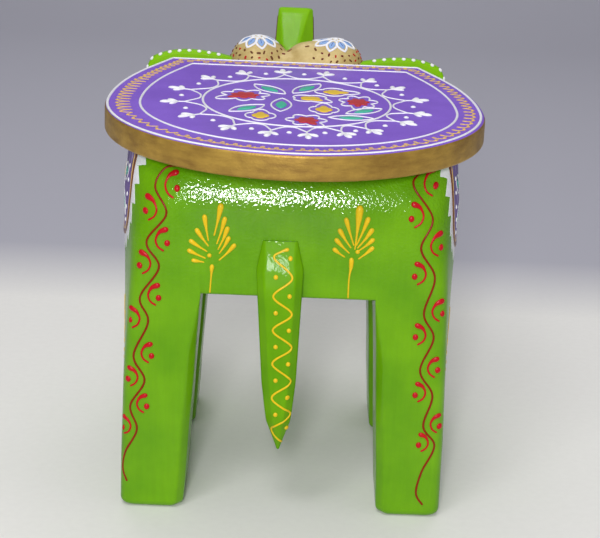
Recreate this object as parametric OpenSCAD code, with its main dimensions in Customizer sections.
// Painted wooden elephant stool.
// A flat seat board lies on a carved carcass of four leg posts and blocks,
// with a twin-domed head, two ears, a raised trunk, two tusks and a tail.
// Lengths are in millimetres. +Z is up, the head looks along +Y, and the
// origin is on the floor under the middle of the whole stool.

/* [Seat] */
// Height of the seat's top above the floor
stool_h = 280; // [262:1:305]
// Width of the board across its widest line, where the rear half circle ends
seat_w = 280; // [272:1:310]
// From the widest line forward to the straight front edge
seat_front_l = 153; // [142:1:170]
// How far the front corners lie in from the widest line, on each side
seat_corner_in = 38; // [30:1:46]
// Slant of the two front corners away from straight ahead, in degrees
seat_corner_slant = 22; // [18:0.1:25]
// Thickness of the board
seat_t = 19; // [15:0.5:24]
// Rounding of the board's upper and lower edges
seat_edge_r = 2.5; // [1:0.5:4]

/* [Carcass] */
// How far the seat reaches past the rump
rear_overhang = 34; // [26:1:42]
// Length of the carcass from the rump to the chest
body_l = 217; // [200:1:228]
// From the seat's widest edge in to the corner posts right under it, on each side
corner_in = 38; // [34:1:43]
// How far the flanks swell out beyond the corner posts, on each side
flank_bulge = 18; // [8:1:24]
// Height at which the flanks have swelled out fully
bulge_h = 222; // [190:1:240]
// Height of the belly and of the gap between the legs
belly_h = 167; // [150:1:180]
// From the seat's widest edge in to the inner face of a flank block
flank_set = 60; // [54:1:64]
// Rounding of the belly's lower edges
belly_r = 9; // [4:1:14]
// Rounding where a leg runs into the belly, seen from the side
arch_r = 20; // [10:1:30]
// Thickness of the board that closes the belly
belly_board_t = 12; // [8:1:16]
// Width of each square block that is glued into a corner of the hollow
glue_block_w = 18; // [12:1:24]
// Height of the rounding at the top of the rump
rump_round_h = 36; // [24:1:44]
// How far that rounding draws the rump in, right under the seat
rump_round_d = 15; // [8:1:16]

/* [Legs] */
// Depth of each leg from front to back
leg_d = 66; // [56:1:76]
// From the seat's widest edge in to the outside of the feet, on each side
stance_in = 23; // [18:1:29]
// Width of each foot
foot_w = 46; // [42:1:50]
// How much narrower the gap between the legs is at the belly than at the floor
gap_narrowing = 19; // [10:1:26]
// Rounding of each leg's outer corner
leg_corner_r = 9; // [5:1:14]
// Rounding of those corners at the top, where they hide under the seat's rim
top_corner_r = 38; // [30:1:39]
// Chamfer on the legs' other long edges, at its widest
leg_edge_cut = 5.5; // [2:0.5:8]
// How far under the belly that chamfer takes to reach its full width
leg_edge_run = 46; // [25:1:70]
// Rounding around the sole of each foot
foot_r = 6; // [3:1:10]

/* [Tail] */
// Width of the tail at its widest
tail_w = 33; // [24:1:38]
// How far the tail stands out from the rump
tail_t = 16; // [12:1:20]
// Height of the tail's top end
tail_top_h = 209; // [202:1:222]
// Height of the tail's tip
tail_tip_h = 53; // [40:1:76]
// Chamfer along the tail's two long edges
tail_edge_cut = 5.5; // [3:0.5:7]
// How far the tail's top sits to one side of the middle
tail_off = -7; // [-10:1:10]
// How far the tail's tip has drifted from the middle
tail_tip_off = -3; // [-10:1:10]

/* [Neck and head] */
// Gap between the seat's front edge and the back of the head
head_gap = 2.5; // [1:0.5:6]
// Length of the head from its back to the root of the trunk
head_l = 46; // [42:1:54]
// Radius of each of the two domes
dome_r = 24; // [20:0.5:26]
// Height of the domes' tops above the seat
dome_rise = 16; // [10:1:20]
// Distance between the tops of the two domes
dome_spread = 64; // [58:1:66]
// How far the cleft between the domes lies to one side of the middle
cleft_off = -8; // [-10:1:10]
// Width of the head's back
head_w = 100; // [92:1:108]
// Height of the chin above the floor
chin_h = 190; // [182:1:196]
// Width of the muzzle at the root of the trunk
muzzle_w = 84; // [80:1:92]
// Height of the muzzle above the chin
muzzle_h = 46; // [40:1:52]
// Depth of the neck's lower edge under the seat board, at the chest
neck_h = 82; // [72:1:88]
// Width of the neck at the chest
neck_w = 116; // [104:1:120]

/* [Ears] */
// From the ear's inner end, deep in its slot, to its tip
ear_w = 91; // [84:1:95]
// Height of the ears' top edge above the seat
ear_rise = 4; // [2.5:0.5:7]
// Drop from the ears' top edge to their lowest point
ear_drop = 106; // [90:1:112]
// Thickness of each ear board
ear_t = 10; // [8:0.5:13]
// From the back of the head to the ears' back face
ear_set = 15; // [11:0.5:15.5]
// From the stool's middle to the ear's inner end, deep in its slot
ear_inner = 36; // [32:1:40]

/* [Trunk and tusks] */
// From the front of the head forward to the front of the trunk
trunk_reach = 50.5; // [48:0.5:58]
// Height of the trunk's tip above the seat
trunk_rise = 32; // [26:1:40]
// Width of the trunk at its root
trunk_root_w = 46; // [40:1:50]
// Width of the trunk at its tip
trunk_tip_w = 29.5; // [26:0.5:34]
// Depth of the trunk at its root, from the chin side to the brow side
trunk_root_d = 42; // [38:1:44]
// Depth of the trunk at its tip
trunk_tip_d = 29; // [24:1:31]
// Chamfer on the trunk's long edges at its root
trunk_root_cut = 8.5; // [6:0.5:9]
// Chamfer on the trunk's long edges at its tip
trunk_tip_cut = 2; // [1:0.5:4]
// Share by which the chamfers on the right-hand side are wider, and those on the left narrower
trunk_cut_skew = 0.35; // [0:0.05:0.4]
// Radius of the bend where the trunk turns up, measured to its middle
trunk_bend_r = 23; // [22:0.5:26]
// Forward tilt of the cut at the trunk's tip, in degrees
trunk_tip_tilt = 18; // [12:1:24]
// How far the trunk sits to one side of the middle
trunk_off = -2; // [-4:1:4]
// Radius of a tusk where it leaves the head
tusk_r = 5.5; // [4:0.5:6.5]
// Length of a tusk outside the head
tusk_l = 44; // [30:1:55]
// Distance between the two tusks at their roots
tusk_spread = 66; // [62:1:70]

/* [Joinery] */
// Diameter of the wooden dowels
dowel_d = 10; // [8:1:12]
// Length of the dowels
dowel_l = 40; // [30:1:44]
// Diameter of the nails
nail_d = 3; // [2.4:0.1:3.6]
// Diameter of the nails' heads
nail_head_d = 6.4; // [5:0.2:8]
// Thickness of the nails' heads
nail_head_t = 1.4; // [1:0.1:2]
// Length of the nails that hold the seat board
seat_nail_l = 40; // [34:1:44]
// Length of the nails that hold the tail and the ears
small_nail_l = 26; // [20:1:30]
// Depth of putty over each sunk nail head
putty_t = 3; // [2:0.5:4]
// Clearance around each dowel, nail, tusk and ear in its hole or slot
fit_gap = 0.1; // [0.05:0.05:0.2]

/* [Hidden] */

enamel_green = "#6faa1c";
paint_gold = "#b79a4c";
paint_white = "#f2f0ea";
bare_wood = "#c8a06a";
iron = "#6c6c70";
putty = "#e4d9c0";

// Small softening of edges that meet another piece
arris = 0.4;
// Margin by which a cutting shape passes the surface that it cuts
over = 1;

// Where the seat's widest line lies, so that the origin is under the middle
mid_y = (seat_w / 2 - seat_front_l - head_gap - head_l - trunk_reach) / 2;
corner_w = seat_w - 2 * corner_in;
flank_in = seat_w / 2 - flank_set;
stance_w = seat_w - 2 * stance_in;
gap_foot = stance_w - 2 * foot_w;
gap_top = gap_foot - gap_narrowing;
carcass_h = stool_h - seat_t;
rear_y = mid_y - seat_w / 2 + rear_overhang;
front_y = rear_y + body_l;
seat_front_y = mid_y + seat_front_l;
head_back_y = seat_front_y + head_gap;
head_front_y = head_back_y + head_l;
hollow_l = body_l - 2 * leg_d;

// Carved pieces: a closed surface over a stack of rings with equal counts of points
module carved(rings) {
    n = len(rings[0]);
    m = len(rings);
    points = [for (ring = rings) each ring];
    sides = [for (i = [0 : m - 2], j = [0 : n - 1])
        let (a = i * n + j, b = i * n + (j + 1) % n)
        each [[a, a + n, b + n], [a, b + n, b]]];
    first = [for (j = [0 : n - 1]) j];
    last = [for (j = [n - 1 : -1 : 0]) (m - 1) * n + j];
    polyhedron(points, concat([first], sides, [last]));
}

// Cubic curve through four control points, in steps equal parts
function curve(a, b, c, d, steps) = [for (i = [0 : steps - 1])
    let (t = i / steps, s = 1 - t)
    s * s * s * a + 3 * s * s * t * b + 3 * s * t * t * c + t * t * t * d];

// Seat board: half circle behind, long arcs at the sides, slanted front corners
corner_normal = [cos(seat_corner_slant), sin(seat_corner_slant)];
seat_corner = [seat_w / 2 - seat_corner_in, seat_front_l];
corner_reach = corner_normal * seat_corner;
side_arc_r = (corner_reach - seat_w / 2 * corner_normal.x) / (1 - corner_normal.x);
side_arc_x = seat_w / 2 - side_arc_r;

function seat_half(in) = concat(
    [for (a = [-90 : 6 : -6]) (seat_w / 2 - in) * [cos(a), sin(a)]],
    [for (i = [0 : 8])
        let (a = seat_corner_slant * i / 8)
        [side_arc_x, 0] + (side_arc_r - in) * [cos(a), sin(a)]],
    [[(corner_reach - in - corner_normal.y * (seat_front_l - in)) / corner_normal.x, seat_front_l - in]]);

function seat_ring(in, z) = let (half = seat_half(in), n = len(half)) concat(
    [for (p = half) [p.x, mid_y + p.y, z]],
    [for (i = [n - 1 : -1 : 1]) [-half[i].x, mid_y + half[i].y, z]]);

seat_edge = [for (a = [0 : 22.5 : 90]) seat_edge_r * [1 - sin(a), 1 - cos(a)]];

module seat_board() {
    lower = [for (e = seat_edge) seat_ring(e.x, carcass_h + e.y)];
    upper = [for (i = [len(seat_edge) - 1 : -1 : 0]) seat_ring(seat_edge[i].x, stool_h - seat_edge[i].y)];
    color(paint_gold) difference() {
        carved(concat(lower, upper));
        seat_nail_spots() sunk_nail_hole(seat_nail_l);
    }
}

// Carcass outline: from the middle to the outer side, at a distance in from the
// rump or the chest and at a height
function corner_half(z) = (stance_w - (stance_w - corner_w) * pow(z / carcass_h, 2)) / 2;
function swell(z) = flank_bulge * pow(min(1, z / bulge_h), 1.5);
function side_x(u, z) = corner_half(z) + swell(z) * 4 * (u / body_l) * (1 - u / body_l);
function inner_x(z) = (gap_top + (gap_foot - gap_top) * max(0, 1 - z / belly_h)) / 2;
function leg_cut(z) = max(arris, leg_edge_cut * min(1, (belly_h - z) / leg_edge_run));

// The rump rounds over towards the seat: how far it has drawn in at a height
rump_round_z = carcass_h - rump_round_h;
rump_round_steps = 6;
rump_round_heights = [for (i = [1 : rump_round_steps]) rump_round_z + rump_round_h * i / rump_round_steps];
function rump_in(z) = rump_round_d * pow(max(0, z - rump_round_z) / rump_round_h, 2);

// Each outer corner is a short parabola that opens out towards the seat board
function corner_r(z) = leg_corner_r
    + (top_corner_r - leg_corner_r) * pow(max(0, z - belly_h) / (carcass_h - belly_h), 1.5);
function corner_curve(a, b, c) = [for (i = [0 : 6])
    let (t = i / 6)
    (1 - t) * (1 - t) * a + 2 * t * (1 - t) * b + t * t * c];

// Legs: level rings from the sole to the seat board. A ring lies in from the leg's
// faces by in, and its end face, towards the rump or the chest, by end_in
function post_ring(z, in, end_in) = let (
        c = leg_cut(z),
        r = corner_r(z),
        far = leg_d - in,
        corner = [side_x(end_in, z) - in, end_in],
        flat_end = corner - [r, 0],
        side_start = [side_x(end_in + r, z) - in, end_in + r]) [for (p = concat(
            [[inner_x(z) + in + c, end_in]],
            corner_curve(flat_end, corner, side_start),
            [for (i = [1 : 5])
                let (u = end_in + r + (far - c - end_in - r) * i / 5)
                [side_x(u, z) - in, u]],
            [[side_x(far, z) - in - c, far],
                [inner_x(z) + in + c, far],
                [inner_x(z) + in, far - c],
                [inner_x(z) + in, end_in + c]]))
        [p.x, p.y, z]];

module post(end) {
    foot = [for (a = [0 : 22.5 : 67.5])
        let (in = foot_r * (1 - sin(a)))
        post_ring(foot_r * (1 - cos(a)), in, in)];
    shank = [for (i = [0 : 7]) post_ring(foot_r + (belly_h - foot_r) * i / 7, 0, 0)];
    shoulder = [for (i = [1 : 4]) post_ring(belly_h + (rump_round_z - belly_h) * i / 4, 0, 0)];
    crown = [for (z = rump_round_heights) post_ring(z, 0, end < 0 ? rump_in(z) : 0)];
    carved(concat(foot, shank, shoulder, crown));
}

// A corner of the carcass: side 1 is the stool's right, end 1 is its front
module at_corner(side, end) {
    translate([0, end > 0 ? front_y : rear_y, 0]) mirror([side > 0 ? 0 : 1, 0, 0])
        mirror([0, end > 0 ? 1 : 0, 0]) children();
}

module leg(side, end) {
    color(enamel_green) difference() {
        at_corner(side, end) post(end);
        at_corner(side, end) corner_dowel_holes();
        seat_nail_spots() sunk_nail_hole(seat_nail_l);
    }
}

// Dowels at each corner: two across into the end block, two along into the flank block
end_dowel_x = gap_top / 2;
flank_dowel_x = (flank_in + corner_w / 2 + flank_bulge / 2) / 2;
dowel_heights = [for (f = [0.24, 0.58]) belly_h + (carcass_h - belly_h) * f];

module dowel(gap) {
    cylinder(h = dowel_l + 2 * gap, d = dowel_d + 2 * gap, center = true, $fn = 32);
}

module corner_dowels(gap) {
    for (z = dowel_heights) {
        translate([end_dowel_x, leg_d / 2, z]) rotate([0, 90, 0]) dowel(gap);
        translate([flank_dowel_x, leg_d, z]) rotate([90, 0, 0]) dowel(gap);
    }
}

module corner_dowel_holes() {
    corner_dowels(fit_gap);
}

module all_corners() {
    for (side = [-1, 1], end = [-1, 1])
        at_corner(side, end) children();
}

module frame_dowels() {
    color(bare_wood) all_corners() corner_dowels(0);
}

// Rump and chest blocks fill the space between two legs
rump_profile = concat([[leg_d, carcass_h], [leg_d, belly_h], [0, belly_h], [0, rump_round_z]],
    [for (z = rump_round_heights) [rump_in(z), z]]);

module rump_block() {
    color(enamel_green) difference() {
        translate([-gap_top / 2, rear_y, 0]) rotate([90, 0, 90])
            linear_extrude(gap_top) polygon(rump_profile);
        all_corners() corner_dowel_holes();
        seat_nail_spots() sunk_nail_hole(seat_nail_l);
        tail_nail_spots() sunk_nail_hole(small_nail_l);
    }
}

module chest_block() {
    color(enamel_green) difference() {
        translate([-gap_top / 2, front_y - leg_d, belly_h])
            cube([gap_top, leg_d, carcass_h - belly_h]);
        all_corners() corner_dowel_holes();
        seat_nail_spots() sunk_nail_hole(seat_nail_l);
        chest_dowels(fit_gap);
    }
}

// Flank blocks: upright rings along the stool, with an arch at each leg
function arch_drop(d) = d < arch_r ? arch_r - sqrt(arch_r * arch_r - pow(arch_r - d, 2)) : 0;

function flank_ring(d) = let (
        near = min(d, hollow_l - d),
        low = belly_h - arch_drop(near),
        r = max(arris, min(belly_r, near / 2)),
        u = leg_d + d,
        y = rear_y + u) concat(
    [[flank_in, y, carcass_h]],
    [for (i = [0 : 6])
        let (z = carcass_h + (low + r - carcass_h) * i / 6)
        [side_x(u, z), y, z]],
    [for (a = [30, 60, 90]) [side_x(u, low + r) - r * (1 - cos(a)), y, low + r - r * sin(a)]],
    [[flank_in, y, low]]);

module flank_block(side) {
    arch = [for (a = [0 : 15 : 75]) arch_r * (1 - cos(a))];
    level = [for (i = [0 : 6]) arch_r + (hollow_l - 2 * arch_r) * i / 6];
    stations = concat(arch, level, [for (i = [len(arch) - 1 : -1 : 0]) hollow_l - arch[i]]);
    color(enamel_green) difference() {
        mirror([side > 0 ? 0 : 1, 0, 0]) carved([for (d = stations) flank_ring(d)]);
        all_corners() corner_dowel_holes();
    }
}

module belly_board() {
    color(enamel_green) translate([-flank_in, rear_y + leg_d, belly_h])
        cube([2 * flank_in, hollow_l, belly_board_t]);
}

module corner_glue_blocks() {
    low = belly_h + belly_board_t;
    color(bare_wood) all_corners()
        translate([flank_in - glue_block_w, leg_d, low])
        cube([glue_block_w, glue_block_w, carcass_h - low]);
}

// Nails are drawn pointing down, with the top of their putty at the origin
module nail(l) {
    translate([0, 0, -putty_t - nail_head_t]) cylinder(h = nail_head_t, d = nail_head_d, $fn = 32);
    translate([0, 0, -putty_t - l]) cylinder(h = l - nail_head_t, d = nail_d, $fn = 24);
}

// A plug or a hole may reach further out, where the wood around it slopes
module putty_plug(out = 0) {
    translate([0, 0, -putty_t]) cylinder(h = putty_t + out, d = nail_head_d, $fn = 32);
}

module sunk_nail_hole(l, out = over) {
    depth = putty_t + nail_head_t;
    translate([0, 0, -depth]) cylinder(h = depth + out, d = nail_head_d + 2 * fit_gap, $fn = 32);
    translate([0, 0, -putty_t - l - fit_gap]) cylinder(h = l, d = nail_d + 2 * fit_gap, $fn = 24);
}

// Seat nails: two over each leg, two over each end block and two over the neck
leg_nail_x = (gap_top + corner_w) / 4;
leg_nail_shares = [0.38, 0.76];
block_nail_x = gap_top / 4;
neck_nail_y = (front_y + head_back_y) / 2;

module seat_nail_spots() {
    for (side = [-1, 1]) {
        for (y = [rear_y, front_y - leg_d], f = leg_nail_shares)
            translate([side * leg_nail_x, y + leg_d * f, stool_h]) children();
        for (y = [rear_y + leg_d / 2, front_y - leg_d / 2, neck_nail_y])
            translate([side * block_nail_x, y, stool_h]) children();
    }
}

module seat_nails() {
    color(iron) seat_nail_spots() nail(seat_nail_l);
}

module seat_putty_plugs() {
    color(putty) seat_nail_spots() putty_plug();
}

// Tail: level rings from the tip to the top, where it thins out into the rump. Its width and
// depth were drawn by hand, in shares of the way up and of its full width and depth
function tail_x(z) = tail_tip_off + (tail_off - tail_tip_off) * (z - tail_tip_h) / (tail_top_h - tail_tip_h);
function tail_half(f) = tail_w / 2 * lookup(f, [[0, 0.06], [0.15, 0.53], [0.34, 0.74], [0.87, 1], [1, 0.74]]);
function tail_depth(f) = tail_t * lookup(f, [[0, 0.3], [0.07, 0.55], [0.12, 0.78], [0.2, 1], [0.29, 0.88],
    [0.4, 0.84], [0.62, 0.88], [0.78, 0.9], [0.84, 0.74], [0.9, 0.58], [1, 0.14]]);
tail_ring_shares = [0, 0.035, 0.07, 0.12, 0.15, 0.2, 0.29, 0.34, 0.4, 0.62, 0.78, 0.84, 0.87, 0.9, 0.95, 1];

function tail_ring(f) = let (
        z = tail_tip_h + (tail_top_h - tail_tip_h) * f,
        w = tail_half(f),
        t = tail_depth(f),
        c = min(tail_edge_cut, w * 0.7, t * 0.6)) [for (p = [
            [w, 0], [-w, 0], [-w, c - t], [c - w, -t], [w - c, -t], [w, c - t]])
        [tail_x(z) + p.x, rear_y + p.y, z]];

module tail_bar() {
    carved([for (f = tail_ring_shares) tail_ring(f)]);
}

module tail() {
    color(enamel_green) difference() {
        tail_bar();
        tail_nail_spots() sunk_nail_hole(small_nail_l, tail_nail_out);
    }
}

// Both nails go into the rump block. Each hole starts where the sloping tail is as deep as at
// the upper edge of the nail's head, and its putty is levelled with the slope
tail_nail_heights = [for (f = [0.2, 0.6]) belly_h + (tail_top_h - belly_h) * f];
tail_nail_out = 4;

module tail_nail_spots() {
    for (z = tail_nail_heights)
        let (upper = (z + nail_head_d / 2 - tail_tip_h) / (tail_top_h - tail_tip_h))
        translate([tail_x(z), rear_y - tail_depth(upper), z]) rotate([90, 0, 0]) children();
}

module tail_nails() {
    color(iron) tail_nail_spots() nail(small_nail_l);
}

module tail_putty_plugs() {
    color(putty) intersection() {
        tail_bar();
        tail_nail_spots() putty_plug(tail_nail_out);
    }
}

// Neck: from the chest forward to the back of the head, under the seat board
neck_r = 14;
neck_in = 2;
neck_rise = 8;

module neck_plate(y, w, h) {
    translate([0, y + over, 0]) rotate([90, 0, 0]) linear_extrude(over) hull() {
        for (side = [-1, 1]) {
            translate([side * (w / 2 - neck_r), carcass_h - h + neck_r]) circle(neck_r, $fn = 32);
            translate([side * w / 2 - (side > 0 ? over : 0), carcass_h - over]) square(over);
        }
    }
}

module neck_block() {
    head_side_h = carcass_h - chin_h - neck_rise;
    color(enamel_green) difference() {
        hull() {
            neck_plate(front_y, neck_w, neck_h);
            neck_plate(head_back_y - over, head_w - 2 * neck_in, head_side_h);
        }
        seat_nail_spots() sunk_nail_hole(seat_nail_l);
        chest_dowels(fit_gap);
        head_dowels(fit_gap);
    }
}

neck_dowel_x = 26;
chest_dowel_z = carcass_h - neck_h * 0.7;
head_dowel_z = carcass_h - neck_h * 0.48;

module dowel_pair(y, z, gap) {
    for (side = [-1, 1])
        translate([side * neck_dowel_x, y, z]) rotate([90, 0, 0]) dowel(gap);
}

module chest_dowels(gap) {
    dowel_pair(front_y - dowel_l / 4, chest_dowel_z, gap);
}

module head_dowels(gap) {
    dowel_pair(head_back_y, head_dowel_z, gap);
}

module neck_dowels() {
    color(bare_wood) {
        chest_dowels(0);
        head_dowels(0);
    }
}

// Head: a skull between the neck and the muzzle, with two domes on top
dome_z = stool_h + dome_rise - dome_r;
dome_y = head_back_y + dome_r + 0.5;
muzzle_top = chin_h + muzzle_h;
// The brow lobes lie a little inside the face and under the muzzle's top
brow_set = 1;
brow_drop = 2;
nape_r = 16;
nape_rise = 22;
temple_r = 20;
temple_in = 2;
temple_drop = 8;
muzzle_r = 12;
muzzle_taper = 4;
// Beside the cleft a dome ends in a smaller lobe: by how much its radius is less, and how far
// out from the cleft its middle lies, in shares of the dome's radius
cleft_lobe_less = 3;
cleft_lobe_share = 0.72;

module skull() {
    hull() {
        for (side = [-1, 1]) {
            translate([side * (head_w / 2 - nape_r), head_back_y + over, chin_h + nape_rise])
                rotate([90, 0, 0]) cylinder(h = over, r = nape_r, $fn = 32);
            translate([side * (head_w / 2 - temple_r - temple_in), head_back_y + temple_r,
                dome_z - temple_drop])
                sphere(temple_r, $fn = 32);
            translate([side * (muzzle_w / 2 - muzzle_r), head_front_y - over, chin_h + muzzle_r])
                rotate([-90, 0, 0]) cylinder(h = over, r = muzzle_r, $fn = 32);
            translate([side * (muzzle_w / 2 - muzzle_r - muzzle_taper), head_front_y - over,
                muzzle_top - muzzle_r])
                rotate([-90, 0, 0]) cylinder(h = over, r = muzzle_r, $fn = 32);
        }
    }
}

// Each dome runs from a round outer lobe to a smaller one beside the cleft, and
// flows down the forehead towards the root of the trunk
module dome(side) {
    cleft_lobe_r = dome_r - cleft_lobe_less;
    brow_lobe_r = dome_r * 0.8;
    hull() {
        translate([side * dome_spread / 2, dome_y, dome_z]) sphere(dome_r, $fn = 32);
        translate([cleft_off + side * dome_r * cleft_lobe_share, dome_y, dome_z - 1])
            sphere(cleft_lobe_r, $fn = 32);
        translate([side * dome_spread / 3, head_front_y - brow_lobe_r - brow_set, muzzle_top - brow_drop])
            sphere(brow_lobe_r, $fn = 32);
    }
}

module head_block() {
    color(paint_gold) difference() {
        union() {
            intersection() {
                skull();
                translate([-seat_w / 2, head_back_y, 0]) cube([seat_w, head_l, stool_h + dome_rise]);
            }
            dome(-1);
            dome(1);
        }
        head_dowels(fit_gap);
        trunk_pin(fit_gap);
        for (side = [-1, 1]) {
            mirror([side > 0 ? 0 : 1, 0, 0]) ear_plate(fit_gap);
            tusk_socket(side);
        }
        ear_nail_spots() sunk_nail_hole(small_nail_l);
    }
}

// Ears: flat boards whose inner ends stand in slots in the head. The outline is drawn by
// hand, in shares of the ear's width from its inner end and of its drop from its top edge
ear_top = stool_h + ear_rise;

function ear_at(u, v) = [ear_inner + ear_w * u, ear_top - ear_drop * v];

function ear_outline() = concat(
    curve(ear_at(0, 0.1), ear_at(0.3, 0.03), ear_at(0.65, -0.04), ear_at(0.91, 0.075), 8),
    curve(ear_at(0.91, 0.075), ear_at(1.03, 0.14), ear_at(1.04, 0.6), ear_at(0.67, 0.98), 10),
    curve(ear_at(0.67, 0.98), ear_at(0.56, 1.04), ear_at(0.22, 0.83), ear_at(0.13, 0.62), 8),
    [ear_at(0, 0.585)]);

module ear_plate(gap) {
    translate([0, head_back_y + ear_set + ear_t + gap, 0]) rotate([90, 0, 0])
        linear_extrude(ear_t + 2 * gap) polygon(ear_outline());
}

module ear(side) {
    color(enamel_green) difference() {
        mirror([side > 0 ? 0 : 1, 0, 0]) ear_plate(0);
        ear_nail_spots() sunk_nail_hole(small_nail_l);
    }
}

ear_nail_share = 0.045;
ear_nail_drops = [0.44, 0.55];

module ear_nail_spots() {
    for (side = [-1, 1], v = ear_nail_drops)
        let (spot = ear_at(ear_nail_share, v))
        translate([side * spot.x, head_back_y - putty_t, spot.y]) rotate([90, 0, 0]) children();
}

module ear_nails() {
    color(iron) ear_nail_spots() nail(small_nail_l);
}

// Trunk: a chamfered bar that leaves the muzzle forward, bends up and leans a little forward.
// The bend ends where a straight line from it just meets the middle of the tip
trunk_root_z = chin_h + muzzle_h / 2;
trunk_stub = 2;
// Shares of the taper that are reached where the bend starts and where it ends, and the share
// of the way over which the chamfers run out at the tip
bend_start = 0.1;
bend_stop = 0.55;
trunk_cut_run = 1 / 6;
// Small chamfer around the trunk's tip
trunk_tip_ease = 2;
tip_out = trunk_reach - trunk_stub - trunk_tip_d / 2 * cos(trunk_tip_tilt)
    + trunk_tip_ease * sin(trunk_tip_tilt);
tip_up = stool_h + trunk_rise - (trunk_tip_d / 2 - trunk_tip_ease) * sin(trunk_tip_tilt) - trunk_root_z;
tip_far = norm([tip_out, tip_up - trunk_bend_r]);
trunk_turn = atan2(tip_up - trunk_bend_r, tip_out) + asin(trunk_bend_r / tip_far);
trunk_up_l = (tip_up - trunk_bend_r * (1 - cos(trunk_turn))) / sin(trunk_turn);

function bend_spot(a) = [head_front_y + trunk_stub + trunk_bend_r * sin(a),
    trunk_root_z + trunk_bend_r * (1 - cos(a))];
function along_trunk(a) = [cos(a), sin(a)];

// Each station: the middle of the ring, its turn from straight ahead, and its share of the way
function trunk_stations() = concat(
    [[head_front_y, trunk_root_z, 0, 0]],
    [for (i = [0 : 10])
        let (a = trunk_turn * i / 10)
        [each bend_spot(a), a, bend_start + (bend_stop - bend_start) * i / 10]],
    [for (i = [1 : 5])
        [each bend_spot(trunk_turn) + trunk_up_l * i / 5 * along_trunk(trunk_turn),
            trunk_turn + (90 - trunk_tip_tilt - trunk_turn) * i / 5,
            bend_stop + (1 - bend_stop) * i / 5]]);

function trunk_ring(s, in) = let (
        f = s[3],
        w = trunk_root_w / 2 + (trunk_tip_w - trunk_root_w) / 2 * f - in,
        d = trunk_root_d / 2 + (trunk_tip_d - trunk_root_d) / 2 * f - in,
        c = trunk_tip_cut + (trunk_root_cut - trunk_tip_cut) * min(1, (1 - f) / trunk_cut_run),
        r = c * (1 + trunk_cut_skew),
        l = c * (1 - trunk_cut_skew)) [for (p = [
            [w, d - r], [w, r - d], [w - r, -d], [l - w, -d],
            [-w, l - d], [-w, d - l], [l - w, d], [w - r, d]])
        [trunk_off + p.x, s[0] - p.y * sin(s[2]), s[1] + p.y * cos(s[2])]];

module trunk() {
    stations = trunk_stations();
    tip = stations[len(stations) - 1];
    back = trunk_tip_ease * along_trunk(tip[2]);
    eased = [tip[0] - back.x, tip[1] - back.y, tip[2], tip[3]];
    body = [for (i = [0 : len(stations) - 2]) trunk_ring(stations[i], 0)];
    color(enamel_green) difference() {
        carved(concat(body, [trunk_ring(eased, 0), trunk_ring(tip, trunk_tip_ease)]));
        trunk_pin(fit_gap);
    }
}

trunk_pin_l = dowel_l * 0.7;

module trunk_pin(gap) {
    translate([trunk_off, head_front_y, trunk_root_z]) rotate([90, 0, 0])
        cylinder(h = trunk_pin_l + 2 * gap, d = dowel_d + 2 * gap, center = true, $fn = 32);
}

module trunk_dowel() {
    color(bare_wood) trunk_pin(0);
}

// Tusks: round rods that taper as they curve forward, out and up
tusk_z = chin_h + muzzle_h * 0.4;
tusk_seat_l = 12;
// Rise and splay of the tusk's curve, as shares of its length, and the share of its
// radius that it has lost at the tip
tusk_lift_share = 0.34;
tusk_splay_share = 0.14;
tusk_taper_share = 0.72;
tusk_taper_power = 1.4;

module tusk_socket(side) {
    translate([side * tusk_spread / 2, head_front_y - tusk_seat_l - fit_gap, tusk_z]) rotate([-90, 0, 0])
        cylinder(h = tusk_seat_l + over, r = tusk_r + fit_gap, $fn = 32);
}

// A ring at a length along the tusk, which is below zero in the socket
function tusk_ring(s) = let (
        f = max(0, s / tusk_l),
        r = tusk_r * (1 - tusk_taper_share * pow(f, tusk_taper_power)),
        tilt = atan(2 * tusk_lift_share * f)) [for (a = [0 : 30 : 330])
        [tusk_spread / 2 + tusk_splay_share * tusk_l * f * f + r * cos(a),
            head_front_y + s + r * sin(a) * sin(tilt),
            tusk_z + tusk_lift_share * tusk_l * f * f - r * sin(a) * cos(tilt)]];

module tusk(side) {
    steps = 9;
    curved = [for (i = [0 : steps]) tusk_ring(tusk_l * i / steps)];
    color(paint_white) mirror([side > 0 ? 0 : 1, 0, 0])
        carved(concat([tusk_ring(-tusk_seat_l)], curved));
}

seat_board();
leg(-1, -1);  // rear_left_leg
leg(1, -1);  // rear_right_leg
leg(-1, 1);  // front_left_leg
leg(1, 1);  // front_right_leg
rump_block();
chest_block();
flank_block(-1);  // left_flank_block
flank_block(1);  // right_flank_block
belly_board();
corner_glue_blocks();
frame_dowels();
seat_nails();
seat_putty_plugs();
neck_block();
neck_dowels();
head_block();
ear(-1);  // left_ear
ear(1);  // right_ear
ear_nails();
trunk();
trunk_dowel();
tusk(-1);  // left_tusk
tusk(1);  // right_tusk
tail();
tail_nails();
tail_putty_plugs();
